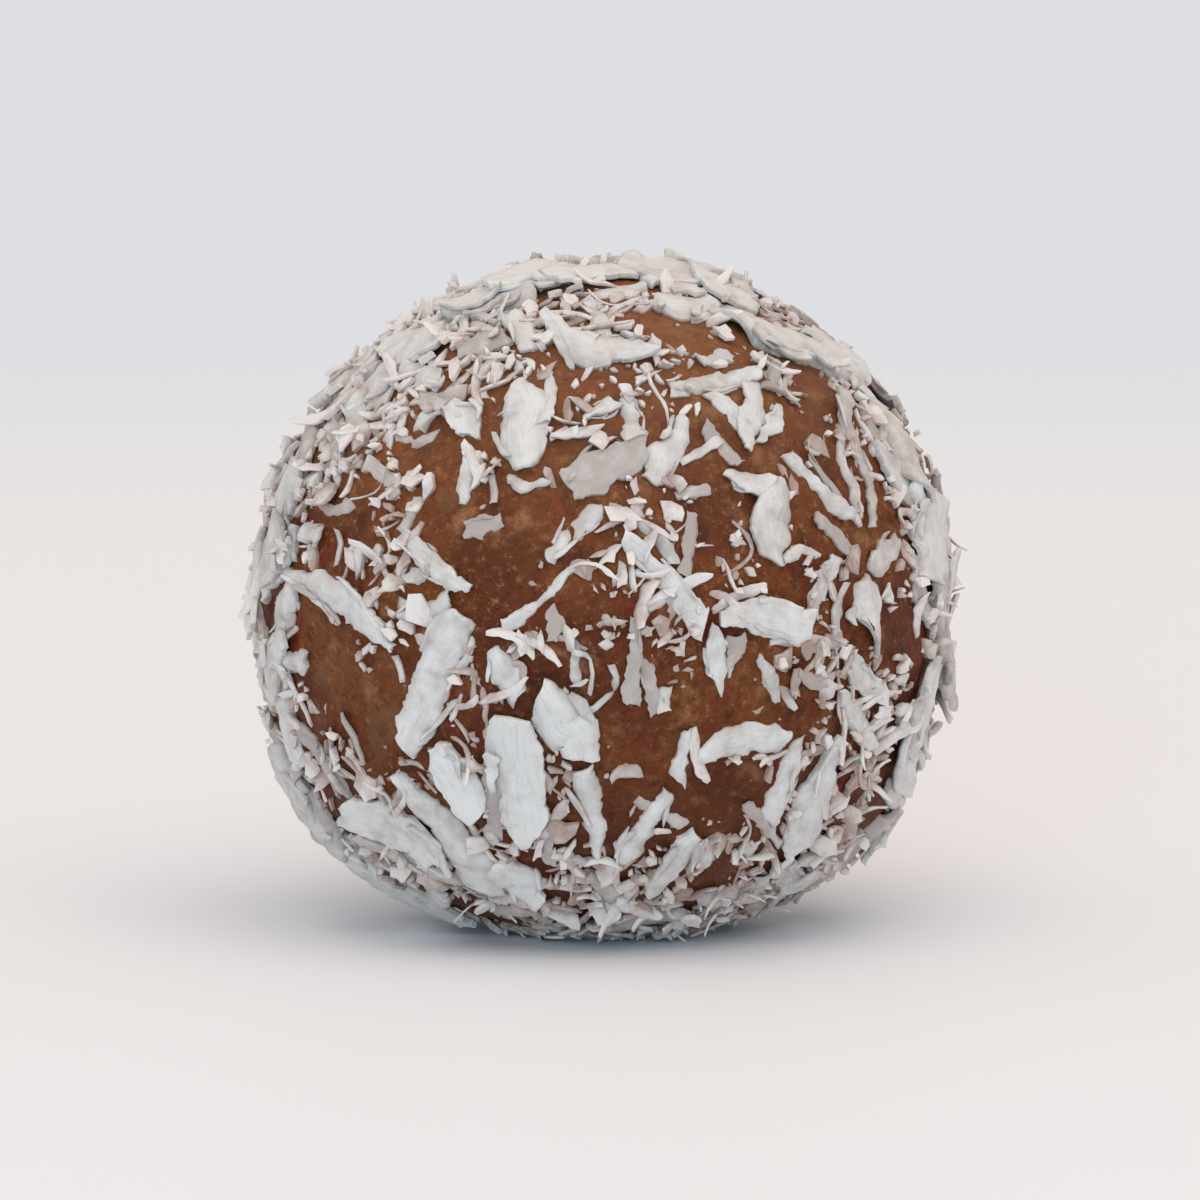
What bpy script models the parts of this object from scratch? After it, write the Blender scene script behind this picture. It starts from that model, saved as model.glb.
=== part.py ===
"""An energy ball: a hand-rolled ball of date and nut paste, coated in desiccated coconut.

Run it with blender --background --python part.py, or from Blender's text editor. Sizes are in millimetres
until the last step, which writes metres. +Z is up, -Y is the side seen in the photograph, and the origin is
the middle of the flat spot that the ball rests on.
"""

import math

import bmesh
import bpy
import numpy as np
from mathutils import Vector, noise

MM = 0.001

# The paste
PASTE_RADIUS = 15.3
MIDDLE_HEIGHT = 14.95  # less than the radius, so that the ball rests on a flat spot
SLUMP_RISE = 0.25  # how far the lower side swells as the soft paste settles
SLUMP_ELEVATION = -40
SLUMP_SPREAD = 18
UNEVENNESS = 0.22
UNEVENNESS_SCALE = 2.6
PASTE_SUBDIVISIONS = 4

# Where a finger or palm left the paste high or low: azimuth from +X, elevation, rise in mm, spread in degrees
LUMPS = (
    (5, 24, 0.60, 18),
    (0, -42, 0.70, 22),
    (182, -38, 0.35, 24),
    (180, 5, 0.15, 30),
    (190, 66, -0.30, 24),
    (270, 15, 0.20, 32),
    (300, -15, -0.15, 24),
    (60, 12, -0.30, 28),
    (118, 38, 0.30, 24),
    (98, -18, 0.30, 26),
)

# The coconut
VIEW_ELEVATION = 7  # the front flakes are placed as seen from this far above level
FLAKE_THICKNESS = 0.55
BED_DEPTH = 0.14  # a flake is pressed this far into what it lies on
ROOT_DEPTH = 0.55  # a flake's solid reaches this far into the paste
FLOOR_CLEARANCE = 0.15
SEED = 7

# Widths along a flake, from end to end, as shares of its full width
PROFILES = {
    "slab": (0.74, 1.0, 0.92, 0.66),
    "lens": (0.18, 0.95, 1.0, 0.22),
    "strip": (0.62, 0.95, 1.0, 0.58),
}

# The flakes that stand out from the front. Each has its two ends, in mm right of and above the ball's middle as
# seen from the front, and its full width. The first is laid first, so a later one lies on those that it crosses.
FRONT_FLAKES = {
    "slab": (
        (-4.0, 14.2, -0.2, 14.6, 2.2),
        (-9.9, 11.6, -6.9, 12.5, 1.9),
        (-12.4, 9.5, -10.3, 10.8, 1.6),
        (-13.7, 6.9, -12.6, 8.7, 1.5),
        (-14.0, 5.3, -15.0, 2.6, 1.7),
        (-15.4, 3.2, -15.6, -0.4, 1.6),
        (-15.1, -6.5, -11.7, -10.2, 1.6),
        (-11.2, -8.9, -7.8, -10.7, 2.4),
        (12.1, 9.7, 14.4, 6.4, 1.7),
        (15.0, 6.4, 15.5, 2.4, 1.5),
        (15.0, -2.1, 12.8, -7.9, 1.6),
        (13.1, -8.3, 10.1, -11.6, 1.6),
        (-3.6, 10.2, -3.3, 5.9, 2.3),
        (-1.5, 5.2, 1.6, 6.7, 1.3),
        (-2.5, 12.8, 2.7, 11.2, 1.9),
        (-0.1, 14.3, 6.0, 13.4, 2.3),
        (5.9, 12.7, 11.6, 11.0, 2.3),
        (3.0, 9.6, 7.0, 10.1, 0.9),
        (6.5, 10.3, 6.7, 7.2, 1.1),
        (3.7, 8.6, 2.2, 5.4, 1.6),
        (5.4, 5.9, 8.2, 5.3, 1.0),
        (7.5, 5.6, 7.3, 1.8, 1.9),
        (12.1, 1.4, 12.1, -1.1, 2.4),
        (5.0, -0.8, 9.4, -0.1, 1.8),
        (-8.9, -0.4, -6.4, 0.4, 0.9),
        (-5.6, -0.3, -8.4, -5.9, 1.7),
        (-2.7, -3.8, -0.7, -6.7, 1.7),
        (-5.3, -11.9, -2.3, -12.6, 2.2),
        (4.3, -6.7, 8.2, -5.4, 1.4),
        (10.9, -2.0, 12.7, -4.2, 1.3),
        (10.9, -3.8, 12.2, -6.7, 1.3),
        (2.8, -8.6, 1.0, -11.2, 1.1),
        (4.2, -9.7, 2.0, -12.8, 1.4),
        (7.5, -12.4, 9.3, -11.6, 1.5),
    ),
    "strip": (
        (-8.9, 3.4, -5.6, 0.9, 0.8),
        (-4.2, -0.9, -1.0, 2.1, 0.7),
        (5.1, -0.8, 5.2, -3.6, 1.0),
        (8.3, 6.8, 11.1, 4.1, 0.8),
        (10.7, 10.1, 11.4, 7.0, 0.9),
        (9.4, 4.0, 11.6, 2.1, 0.8),
        (10.4, 2.4, 9.4, -0.9, 0.7),
        (7.8, 9.2, 7.1, 7.4, 0.7),
        (1.6, -0.3, 1.2, -4.4, 0.7),
        (8.8, -5.7, 7.8, -9.3, 1.1),
        (-9.5, -12.0, -6.0, -13.8, 1.2),
        (-5.0, -13.1, -0.7, -13.7, 1.1),
        (4.4, -13.1, 7.3, -12.9, 0.9),
    ),
    "lens": (
        (-14.7, 1.7, -8.9, -1.6, 1.4),
        (-10.8, 10.1, -9.9, 6.9, 1.1),
        (-11.8, 8.3, -11.8, 5.9, 1.0),
        (-5.4, 7.0, -6.0, 4.4, 0.9),
        (-2.3, 2.0, 0.2, 4.4, 0.9),
        (1.4, 3.1, 5.0, -0.9, 1.1),
        (14.0, 2.5, 14.3, -0.8, 0.9),
        (3.9, -5.1, 3.3, -7.6, 0.8),
        (-3.8, -4.3, -3.4, -10.2, 2.3),
        (-0.7, -6.9, -0.5, -11.0, 1.3),
        (-9.0, -7.3, -5.3, -12.7, 1.9),
        (10.7, -5.5, 8.8, -10.9, 1.7),
    ),
}

# The flakes round the sides, the back and underneath, which follow a rule
OTHER_FLAKE_SITES = 190
FRONT_ZONE = 66  # degrees round the line of sight, where the flakes above are
FOOT_ZONE = 24  # degrees round straight down, which stay bare where the ball rests
SITE_JITTER = 0.10
LENGTH_RANGE = (3.4, 7.6)
WIDTH_RANGE = (0.9, 2.3)
KIND_SHARES = (("slab", 0.45), ("lens", 0.30), ("strip", 0.25))
STRIP_WIDTH_SHARE = 0.55
EDGE_JITTER = 0.14

FIELD_POINTS = 40000  # where the height of the coat is kept, about 0.3 mm apart
GOLDEN_ANGLE = math.pi * (3 - math.sqrt(5))

PASTE_COLOUR = (0.118, 0.048, 0.024)
COCONUT_COLOUR = (0.60, 0.56, 0.54)


def direction(azimuth, elevation):
    """The unit vector at this azimuth from +X and elevation above level, in degrees."""
    a, e = math.radians(azimuth), math.radians(elevation)
    return np.array((math.cos(e) * math.cos(a), math.cos(e) * math.sin(a), math.sin(e)))


def unit(vector):
    return vector / np.linalg.norm(vector)


def spiral(count):
    """This many directions spread evenly over a sphere, as an array, from the top down."""
    turn = np.arange(count) * GOLDEN_ANGLE
    height = 1 - 2 * (np.arange(count) + 0.5) / count
    level = np.sqrt(1 - height * height)
    return np.stack((level * np.cos(turn), level * np.sin(turn), height), axis=1)


LUMP_DIRECTIONS = [direction(azimuth, elevation) for azimuth, elevation, _, _ in LUMPS]


def paste_radius(way):
    """How far the paste's surface is from the ball's middle in this direction, before the flat spot."""
    elevation = math.degrees(math.asin(max(-1.0, min(1.0, way[2]))))
    radius = PASTE_RADIUS
    radius += SLUMP_RISE * math.exp(-(((elevation - SLUMP_ELEVATION) / SLUMP_SPREAD) ** 2))
    radius += UNEVENNESS * noise.noise(Vector(way) * UNEVENNESS_SCALE)
    for (_, _, rise, spread), middle in zip(LUMPS, LUMP_DIRECTIONS):
        away = math.degrees(math.acos(max(-1.0, min(1.0, float(middle @ way)))))
        radius += rise * math.exp(-((away / spread) ** 2))
    return radius


def surface_point(way, height, lowest):
    """The point this high over the paste in this direction, kept at or above a level."""
    point = way * (paste_radius(way) + height)
    point[2] = max(point[2] + MIDDLE_HEIGHT, lowest)
    return point


# The line of sight of the front flakes
TO_VIEWER = direction(270, VIEW_ELEVATION)
VIEW_RIGHT = np.array((1.0, 0.0, 0.0))
VIEW_UP = np.cross(TO_VIEWER, VIEW_RIGHT)


def seen_at(right, up):
    """The direction of the spot on the ball that the front view shows this far right of and above its middle."""
    out = math.hypot(right, up)
    most = 0.995 * PASTE_RADIUS
    if out > most:
        right, up, out = right * most / out, up * most / out, most
    depth = math.sqrt(PASTE_RADIUS**2 - out**2)
    return unit(right * VIEW_RIGHT + up * VIEW_UP + depth * TO_VIEWER)


class Flake:
    """One flake: its middle and heading on the ball, its size, and the heights of what lies under its ends."""

    def __init__(self, kind, middle, heading, length, width):
        self.kind = kind
        self.middle = middle
        self.along = unit(heading - middle * float(heading @ middle))
        self.across = np.cross(middle, self.along)
        self.length = length
        self.width = width
        self.under = (0.0, 0.0)

    def way(self, along, across):
        """The direction of the spot this far along and across the flake, measured over the ball."""
        step = (along * self.along + across * self.across) / PASTE_RADIUS
        angle = float(np.linalg.norm(step))
        if angle < 1e-9:
            return self.middle
        return math.cos(angle) * self.middle + math.sin(angle) * step / angle

    def half_width(self, along):
        """Half the flake's width at places along it, which run from -length / 2 to length / 2."""
        profile = PROFILES[self.kind]
        places = np.linspace(-self.length / 2, self.length / 2, len(profile))
        return np.interp(along, places, profile) * self.width / 2

    def top(self, along):
        """The height of the flake's upper face over the paste."""
        share = np.clip(along / self.length + 0.5, 0, 1)
        under = self.under[0] + (self.under[1] - self.under[0]) * share
        return under - BED_DEPTH + FLAKE_THICKNESS


def front_flake(kind, right_a, up_a, right_b, up_b, width):
    """The flake between two ends as seen from the front."""
    start, end = seen_at(right_a, up_a), seen_at(right_b, up_b)
    length = PASTE_RADIUS * math.acos(float(start @ end))
    return Flake(kind, unit(start + end), end - start, length, width)


def other_flakes(draw):
    """The flakes outside the front zone, one at each site of an even spiral that is free."""
    found = []
    kinds, shares = zip(*KIND_SHARES)
    for site in spiral(OTHER_FLAKE_SITES):
        middle = unit(site + draw.normal(0, SITE_JITTER, 3))
        heading = draw.normal(0, 1, 3)
        kind = kinds[draw.choice(len(kinds), p=shares)]
        length = draw.uniform(*LENGTH_RANGE)
        width = draw.uniform(*WIDTH_RANGE) * (STRIP_WIDTH_SHARE if kind == "strip" else 1)
        if middle @ TO_VIEWER > math.cos(math.radians(FRONT_ZONE)):
            continue
        if -middle[2] > math.cos(math.radians(FOOT_ZONE)):
            continue
        found.append(Flake(kind, middle, heading, length, width))
    return found


def lay(flakes):
    """Rests each flake on the paste and on the flakes laid before it."""
    ways = spiral(FIELD_POINTS)
    heights = np.zeros(FIELD_POINTS)
    for flake in flakes:
        near = ways @ flake.middle > 0.5
        along = ways @ flake.along * PASTE_RADIUS
        across = ways @ flake.across * PASTE_RADIUS
        covered = near & (np.abs(along) < flake.length / 2)
        covered &= np.abs(across) < flake.half_width(along)
        first = heights[covered & (along < -flake.length / 6)]
        last = heights[covered & (along > flake.length / 6)]
        flake.under = tuple(float(np.percentile(part, 75)) if len(part) else 0.0 for part in (first, last))
        heights[covered] = flake.top(along[covered])


def flake_mesh(flake, draw):
    """A closed strip with a flat top, whose sides run down into the paste."""
    profile = PROFILES[flake.kind]
    shape = bmesh.new()
    rings = []
    for index in range(len(profile)):
        along = flake.length * (index / (len(profile) - 1) - 0.5)
        half = float(flake.half_width(along))
        sides = half * (1 + draw.uniform(-EDGE_JITTER, EDGE_JITTER, 2))
        shift = along + draw.uniform(-EDGE_JITTER, EDGE_JITTER, 2) * min(half * 2, 1.0)
        corners = (
            (shift[0], sides[0], float(flake.top(along))),
            (shift[1], -sides[1], float(flake.top(along))),
            (shift[1], -sides[1], -ROOT_DEPTH),
            (shift[0], sides[0], -ROOT_DEPTH),
        )
        points = [surface_point(flake.way(a, c), h, FLOOR_CLEARANCE) * MM for a, c, h in corners]
        rings.append([shape.verts.new(point) for point in points])
    for ring, following in zip(rings, rings[1:]):
        for side in range(4):
            turn = (side + 1) % 4
            shape.faces.new((ring[side], following[side], following[turn], ring[turn]))
    shape.faces.new(rings[0])
    shape.faces.new(list(reversed(rings[-1])))
    bmesh.ops.triangulate(shape, faces=shape.faces)
    bmesh.ops.recalc_face_normals(shape, faces=shape.faces)
    mesh = bpy.data.meshes.new("flake")
    shape.to_mesh(mesh)
    shape.free()
    return mesh


def paste_mesh():
    """The bare ball: an even sphere moved out to the paste's surface, flat where it rests."""
    shape = bmesh.new()
    bmesh.ops.create_icosphere(shape, subdivisions=PASTE_SUBDIVISIONS, radius=1)
    for vert in shape.verts:
        way = unit(np.array(vert.co))
        vert.co = Vector(surface_point(way, 0.0, 0.0) * MM)
    bmesh.ops.recalc_face_normals(shape, faces=shape.faces)
    mesh = bpy.data.meshes.new("energy_ball")
    shape.to_mesh(mesh)
    shape.free()
    return mesh


def material(name, colour, roughness):
    made = bpy.data.materials.new(name)
    made.use_nodes = True
    shader = made.node_tree.nodes["Principled BSDF"]
    shader.inputs["Base Color"].default_value = (*colour, 1)
    shader.inputs["Roughness"].default_value = roughness
    shader.inputs["Metallic"].default_value = 0
    return made


def fuse(ball, flakes):
    """Joins a collection of flakes to the ball by one Boolean union, applies it and removes the flakes."""
    union = ball.modifiers.new("Flakes", "BOOLEAN")
    union.operation = "UNION"
    union.operand_type = "COLLECTION"
    union.collection = flakes
    union.solver = "EXACT"
    union.material_mode = "TRANSFER"
    graph = bpy.context.evaluated_depsgraph_get()
    fused = bpy.data.meshes.new_from_object(ball.evaluated_get(graph))
    ball.modifiers.clear()
    bare, ball.data = ball.data, fused
    bpy.data.meshes.remove(bare)
    for flake in list(flakes.objects):
        mesh = flake.data
        bpy.data.objects.remove(flake)
        bpy.data.meshes.remove(mesh)
    bpy.data.collections.remove(flakes)


def islands(shape):
    """The faces of each separate shell of a mesh."""
    left, found = set(shape.faces), []
    while left:
        waiting, shell = [left.pop()], []
        while waiting:
            face = waiting.pop()
            shell.append(face)
            joined = {other for edge in face.edges for other in edge.link_faces} & left
            left -= joined
            waiting.extend(joined)
        found.append(shell)
    return found


def keep_outer_shell(mesh):
    """Fills the hollows that fusing has sealed and drops loose scraps: both are shells of their own."""
    shape = bmesh.new()
    shape.from_mesh(mesh)
    shells = sorted(islands(shape), key=len)
    spare = [face for shell in shells[:-1] for face in shell]
    bmesh.ops.delete(shape, geom=spare, context="FACES")
    bmesh.ops.triangulate(shape, faces=shape.faces)
    shape.to_mesh(mesh)
    shape.free()


def main():
    for old in list(bpy.data.objects):
        bpy.data.objects.remove(old)
    paste = material("date_paste", PASTE_COLOUR, 0.45)
    coconut = material("coconut", COCONUT_COLOUR, 0.75)

    ball = bpy.data.objects.new("energy_ball", paste_mesh())
    ball.data.materials.append(paste)
    bpy.context.scene.collection.objects.link(ball)

    draw = np.random.default_rng(SEED)
    flakes = other_flakes(draw)
    flakes += [front_flake(kind, *place) for kind, places in FRONT_FLAKES.items() for place in places]
    lay(flakes)

    coat = bpy.data.collections.new("coat")
    bpy.context.scene.collection.children.link(coat)
    for number, flake in enumerate(flakes):
        mesh = flake_mesh(flake, draw)
        mesh.materials.append(coconut)
        coat.objects.link(bpy.data.objects.new(f"flake_{number}", mesh))
    fuse(ball, coat)
    keep_outer_shell(ball.data)
    ball.data.set_sharp_from_angle(angle=math.radians(35))


main()
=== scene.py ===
"""The looks of an energy ball: moist date and nut paste, rolled in ragged flakes of desiccated coconut.

Lengths are in millimetres and turn into metres where a mesh, a lamp or the camera is made. +Z is up, -Y is
the side seen in the photograph, and the origin is the middle of the flat spot that the ball rests on.
"""

import math
from dataclasses import dataclass, field

import bmesh
import bpy
import numpy as np
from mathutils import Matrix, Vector, kdtree, noise


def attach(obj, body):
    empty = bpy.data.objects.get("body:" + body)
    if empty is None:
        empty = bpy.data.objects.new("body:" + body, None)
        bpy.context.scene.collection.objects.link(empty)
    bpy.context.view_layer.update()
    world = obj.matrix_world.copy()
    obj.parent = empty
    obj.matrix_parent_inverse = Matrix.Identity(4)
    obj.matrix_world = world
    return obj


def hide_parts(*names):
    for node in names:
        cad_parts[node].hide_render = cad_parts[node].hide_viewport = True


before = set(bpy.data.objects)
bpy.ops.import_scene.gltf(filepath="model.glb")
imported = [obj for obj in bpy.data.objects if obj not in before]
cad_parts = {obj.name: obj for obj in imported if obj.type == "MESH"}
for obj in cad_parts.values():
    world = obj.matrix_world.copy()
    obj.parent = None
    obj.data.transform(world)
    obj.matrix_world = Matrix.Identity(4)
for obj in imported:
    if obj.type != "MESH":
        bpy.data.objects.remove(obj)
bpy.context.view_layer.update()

MM = 0.001

# The paste, with the same form as the solid
PASTE_RADIUS = 15.3
COAT_RADIUS = 16.0  # where the front view sees the coconut
MIDDLE_HEIGHT = 14.95
SLUMP_RISE = 0.25
SLUMP_ELEVATION = -40
SLUMP_SPREAD = 18
UNEVENNESS = 0.22
UNEVENNESS_SCALE = 2.6
PASTE_CELLS = 125  # along each edge of the cube that the paste is blown up from

# Where a finger or palm left the paste high or low: azimuth from +X, elevation, rise in mm, spread in degrees
LUMPS = (
    (5, 24, 0.60, 18),
    (0, -42, 0.70, 22),
    (182, -38, 0.35, 24),
    (180, 5, 0.15, 30),
    (190, 66, -0.30, 24),
    (270, 15, 0.20, 32),
    (300, -15, -0.15, 24),
    (60, 12, -0.30, 28),
    (118, 38, 0.30, 24),
    (98, -18, 0.30, 26),
)

# Bare paste in the front view: mm right of and above the ball's middle, and radius
VIEW_ELEVATION = 7
FRONT_BARE = (
    (-12.0, -4.1, 1.9),
    (-10.4, -6.4, 1.5),
    (-9.6, -4.2, 1.2),
    (-4.6, 1.9, 1.3),
    (-2.9, 0.2, 0.9),
    (-3.4, 4.3, 0.8),
    (1.5, 13.2, 0.9),
    (3.6, 12.6, 1.4),
    (5.1, 11.9, 1.1),
    (9.9, 10.2, 1.3),
    (10.0, 8.4, 0.8),
    (0.5, -6.3, 1.6),
    (2.4, -6.0, 1.4),
    (5.4, -5.2, 1.3),
    (9.6, -5.2, 1.1),
    (0.5, -9.7, 1.0),
    (6.2, -9.0, 1.5),
    (4.9, -3.6, 0.8),
    (-2.9, -12.0, 0.9),
    (-2.1, -13.4, 0.6),
    (5.2, -12.6, 0.9),
    (-4.4, -10.6, 0.6),
    (-7.0, 4.6, 0.8),
    (5.4, 4.6, 0.7),
    (8.6, 0.9, 0.8),
    (14.2, -1.0, 0.7),
)
OTHER_BARE_COUNT = 44
OTHER_BARE_RADIUS = (0.8, 2.0)

# The flakes that stand out from the front. Each is given by places on its middle line: mm right of and above
# the ball's middle as seen from the front, and its full width there. A later one lies on the earlier ones.
GREY_FLAKES = (
    ((-6.6, 11.5, 0.8), (-5.4, 11.8, 1.4), (-4.2, 12.1, 0.9)),
    ((-1.5, 5.0, 1.2), (-0.2, 5.7, 1.8), (1.2, 6.5, 1.6), (2.2, 7.1, 0.9)),
    ((-5.0, -6.7, 0.6), (-4.8, -8.6, 0.9), (-4.7, -10.4, 0.6)),
    ((-2.8, -9.0, 0.7), (-2.5, -10.6, 0.9), (-2.2, -11.8, 0.5)),
    ((4.7, 8.0, 0.6), (5.7, 7.0, 0.7), (6.5, 6.2, 0.5)),
    ((8.1, 10.7, 0.5), (7.9, 9.5, 1.0)),
    ((12.0, 9.1, 0.4), (12.8, 7.7, 0.9), (13.5, 6.8, 0.6)),
    ((9.5, 6.6, 0.3), (10.4, 5.7, 0.4), (11.3, 4.5, 0.35)),
    ((9.7, 3.9, 0.5), (11.0, 3.0, 0.7), (12.1, 1.8, 0.5)),
    ((6.2, -1.6, 0.7), (6.3, -2.2, 0.8), (6.2, -2.8, 0.4)),
    ((9.1, -3.2, 0.3), (9.8, -3.8, 0.7), (10.8, -3.7, 0.7)),
    ((-13.8, -5.9, 0.7), (-12.7, -7.3, 1.0), (-11.7, -8.8, 0.7)),
    ((-12.0, -5.2, 0.25), (-11.3, -6.5, 0.3), (-10.9, -7.5, 0.2)),
    ((-6.2, 3.1, 0.5), (-5.4, 3.4, 1.1), (-4.4, 3.7, 0.5)),
    ((1.6, -0.6, 0.5), (1.6, -2.2, 0.6), (1.4, -4.1, 0.8), (1.5, -4.9, 0.6)),
    ((2.1, -2.5, 0.5), (2.2, -3.8, 0.6), (2.7, -5.1, 0.7)),
    ((0.5, 4.5, 0.4), (0.9, 3.4, 0.6)),
    ((4.2, 4.1, 0.5), (4.1, 2.6, 0.6), (3.8, 1.1, 0.6)),
    ((-2.2, -0.3, 0.3), (-2.0, -1.0, 0.8), (-2.2, -1.9, 0.5)),
    ((10.2, -1.7, 0.3), (10.3, -2.5, 0.5), (10.2, -3.2, 0.2)),
    ((13.0, -9.3, 1.1), (11.7, -11.1, 1.7), (10.5, -12.8, 1.5), (9.5, -13.9, 0.9)),
)
PLAIN_FLAKES = (
    ((-13.6, 6.4, 1.0), (-14.3, 5.0, 2.0), (-14.5, 3.6, 1.2)),
    ((-14.3, 3.9, 0.9), (-14.9, 2.4, 2.1), (-14.9, 0.8, 1.3)),
    ((-14.2, 0.9, 0.8), (-14.8, -0.6, 1.9), (-14.6, -2.1, 1.2)),
    ((-14.3, -1.6, 0.9), (-14.9, -3.0, 1.5), (-14.4, -4.4, 0.8)),
    ((-9.3, 10.8, 1.0), (-7.4, 10.1, 0.9)),
    ((-8.6, 9.4, 0.8), (-7.0, 9.1, 0.7)),
    ((-5.8, 10.3, 0.7), (-4.6, 11.0, 0.9)),
    ((-11.0, 8.7, 0.9), (-9.7, 9.5, 1.0)),
    ((-13.5, 9.1, 1.2), (-12.7, 10.0, 1.8), (-11.5, 10.6, 1.6), (-10.3, 11.0, 0.9)),
    ((-15.7, -6.8, 0.5), (-14.6, -8.2, 1.4), (-13.5, -9.7, 1.8), (-12.3, -11.3, 1.3), (-11.5, -12.0, 0.5)),
    ((-11.5, -11.5, 0.7), (-10.3, -12.5, 1.4), (-8.7, -13.4, 1.8), (-7.1, -14.3, 1.4), (-5.9, -15.0, 0.5)),
    ((-7.3, 13.1, 0.6), (-5.1, 13.8, 2.0), (-2.8, 14.4, 2.2)),
    ((-11.2, 9.6, 1.0), (-11.2, 8.4, 1.1), (-10.9, 7.3, 0.5)),
    ((-12.3, 8.2, 0.5), (-12.1, 7.0, 0.9), (-12.2, 5.9, 0.3)),
    ((-10.3, 8.3, 0.3), (-10.2, 6.9, 0.25)),
    ((-10.6, 6.3, 0.5), (-9.9, 5.6, 0.8), (-8.9, 5.3, 0.4)),
    ((-9.5, 7.6, 0.35), (-8.7, 7.3, 0.6), (-7.6, 7.6, 0.8)),
    ((-13.2, 4.6, 0.35), (-12.5, 4.1, 0.5), (-11.4, 4.5, 0.5)),
    ((-12.0, 3.3, 0.4), (-12.3, 1.6, 0.35)),
    ((-8.3, 4.8, 0.4), (-8.7, 4.0, 0.5), (-9.1, 3.1, 0.5)),
    ((-9.1, 0.9, 0.4), (-8.4, 1.1, 0.7), (-7.7, 1.4, 0.5)),
    ((-9.4, -0.7, 0.5), (-8.1, -0.5, 1.1), (-6.7, 0.1, 0.7)),
    ((-4.3, 5.8, 0.25), (-3.5, 5.2, 0.7), (-2.3, 5.5, 0.25)),
    ((-5.0, 5.8, 0.4), (-4.8, 4.4, 0.3)),
    ((-2.3, 7.4, 0.3), (-1.2, 7.7, 0.6), (0.1, 7.6, 0.5)),
    ((-0.1, 13.4, 0.7), (0.1, 12.2, 0.9)),
    ((4.4, 11.0, 0.4), (5.2, 11.2, 0.7), (6.0, 11.4, 0.5)),
    ((8.9, 9.7, 0.4), (9.1, 9.0, 0.5)),
    ((8.4, 6.8, 0.6), (9.5, 5.7, 0.6), (10.9, 4.3, 0.7), (11.7, 3.8, 0.35)),
    ((11.1, 7.7, 0.4), (11.2, 6.3, 0.4), (11.8, 5.2, 0.5), (11.8, 4.0, 0.35)),
    ((11.2, 9.8, 0.5), (11.3, 8.4, 0.7), (12.0, 7.0, 0.6), (12.6, 5.2, 0.5), (12.4, 3.2, 0.25)),
    ((12.6, 1.5, 0.7), (13.3, 2.2, 1.2), (13.8, 2.9, 0.4)),
    ((11.0, 2.1, 0.6), (10.5, 1.1, 0.8), (9.9, 0.1, 0.7), (9.8, -0.8, 0.4)),
    ((11.2, 0.9, 0.4), (11.0, -0.5, 0.5), (10.9, -1.6, 0.4)),
    ((8.2, 5.4, 0.7), (8.0, 4.3, 1.7), (7.7, 3.1, 2.1), (7.9, 1.6, 0.8)),
    ((3.5, 4.8, 0.35), (4.3, 5.0, 0.6), (5.1, 5.1, 0.35)),
    ((1.4, 3.7, 0.35), (2.8, 2.8, 0.6), (3.4, 1.6, 0.5)),
    ((-1.3, -2.2, 0.25), (-0.5, -2.4, 0.2), (-0.3, -3.3, 0.2), (-0.5, -4.3, 0.2)),
    ((0.5, -2.8, 0.3), (0.8, -3.6, 0.35), (0.3, -4.5, 0.3), (-0.5, -5.1, 0.3)),
    ((-1.1, -1.7, 0.5), (-1.1, -3.8, 0.5)),
    ((-2.3, -1.6, 0.3), (-1.5, -1.7, 0.4), (-0.6, -2.2, 0.2)),
    ((-5.9, -3.4, 0.35), (-5.2, -3.9, 0.4), (-4.4, -4.5, 0.4)),
    ((3.0, -3.9, 0.5), (2.9, -5.0, 0.6)),
    ((7.3, -2.5, 0.25), (7.9, -3.6, 0.7), (8.2, -4.7, 0.25)),
    ((8.4, -3.8, 0.5), (9.0, -5.0, 0.3)),
    ((-9.4, -2.5, 0.35), (-9.1, -3.8, 0.25)),
    ((-9.3, -7.5, 0.25), (-8.5, -7.5, 0.35), (-7.4, -8.5, 0.3)),
    ((-5.2, -10.2, 0.7), (-4.7, -11.1, 0.6)),
    ((-1.9, -11.7, 0.4), (-0.8, -11.8, 0.4)),
    ((-5.0, -14.2, 0.8), (-3.4, -14.3, 1.0), (-1.1, -14.6, 0.7)),
    ((0.5, -8.1, 0.3), (1.2, -7.9, 0.6), (1.9, -7.8, 0.4)),
    ((1.6, -9.0, 0.7), (2.4, -9.6, 0.5), (3.9, -10.3, 0.6)),
    ((6.7, -9.3, 0.4), (7.4, -10.0, 0.8), (8.2, -11.2, 0.3)),
    ((5.2, -10.7, 0.4), (5.0, -11.4, 0.9), (4.7, -12.2, 0.6)),
    ((4.5, -14.0, 0.8), (5.7, -13.5, 0.9), (7.1, -13.7, 0.7), (7.5, -12.6, 0.6)),
    ((8.0, -12.2, 0.7), (8.8, -12.8, 1.3), (9.5, -12.0, 0.7)),
    ((-0.6, -12.4, 0.4), (0.4, -13.4, 1.2), (0.9, -14.2, 0.5)),
    ((14.6, 2.2, 0.4), (14.8, 0.3, 0.9), (15.1, -1.2, 0.4)),
    ((12.9, 8.6, 1.2), (13.8, 6.9, 2.2), (14.2, 5.0, 1.8)),
    ((14.8, 4.8, 1.4), (15.0, 2.8, 2.6), (15.0, 0.8, 1.6)),
    ((-14.6, -2.8, 0.9), (-13.9, -2.9, 1.3), (-13.5, -2.7, 0.5)),
    ((-13.5, -4.9, 0.6), (-12.7, -5.1, 0.5)),
)
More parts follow.
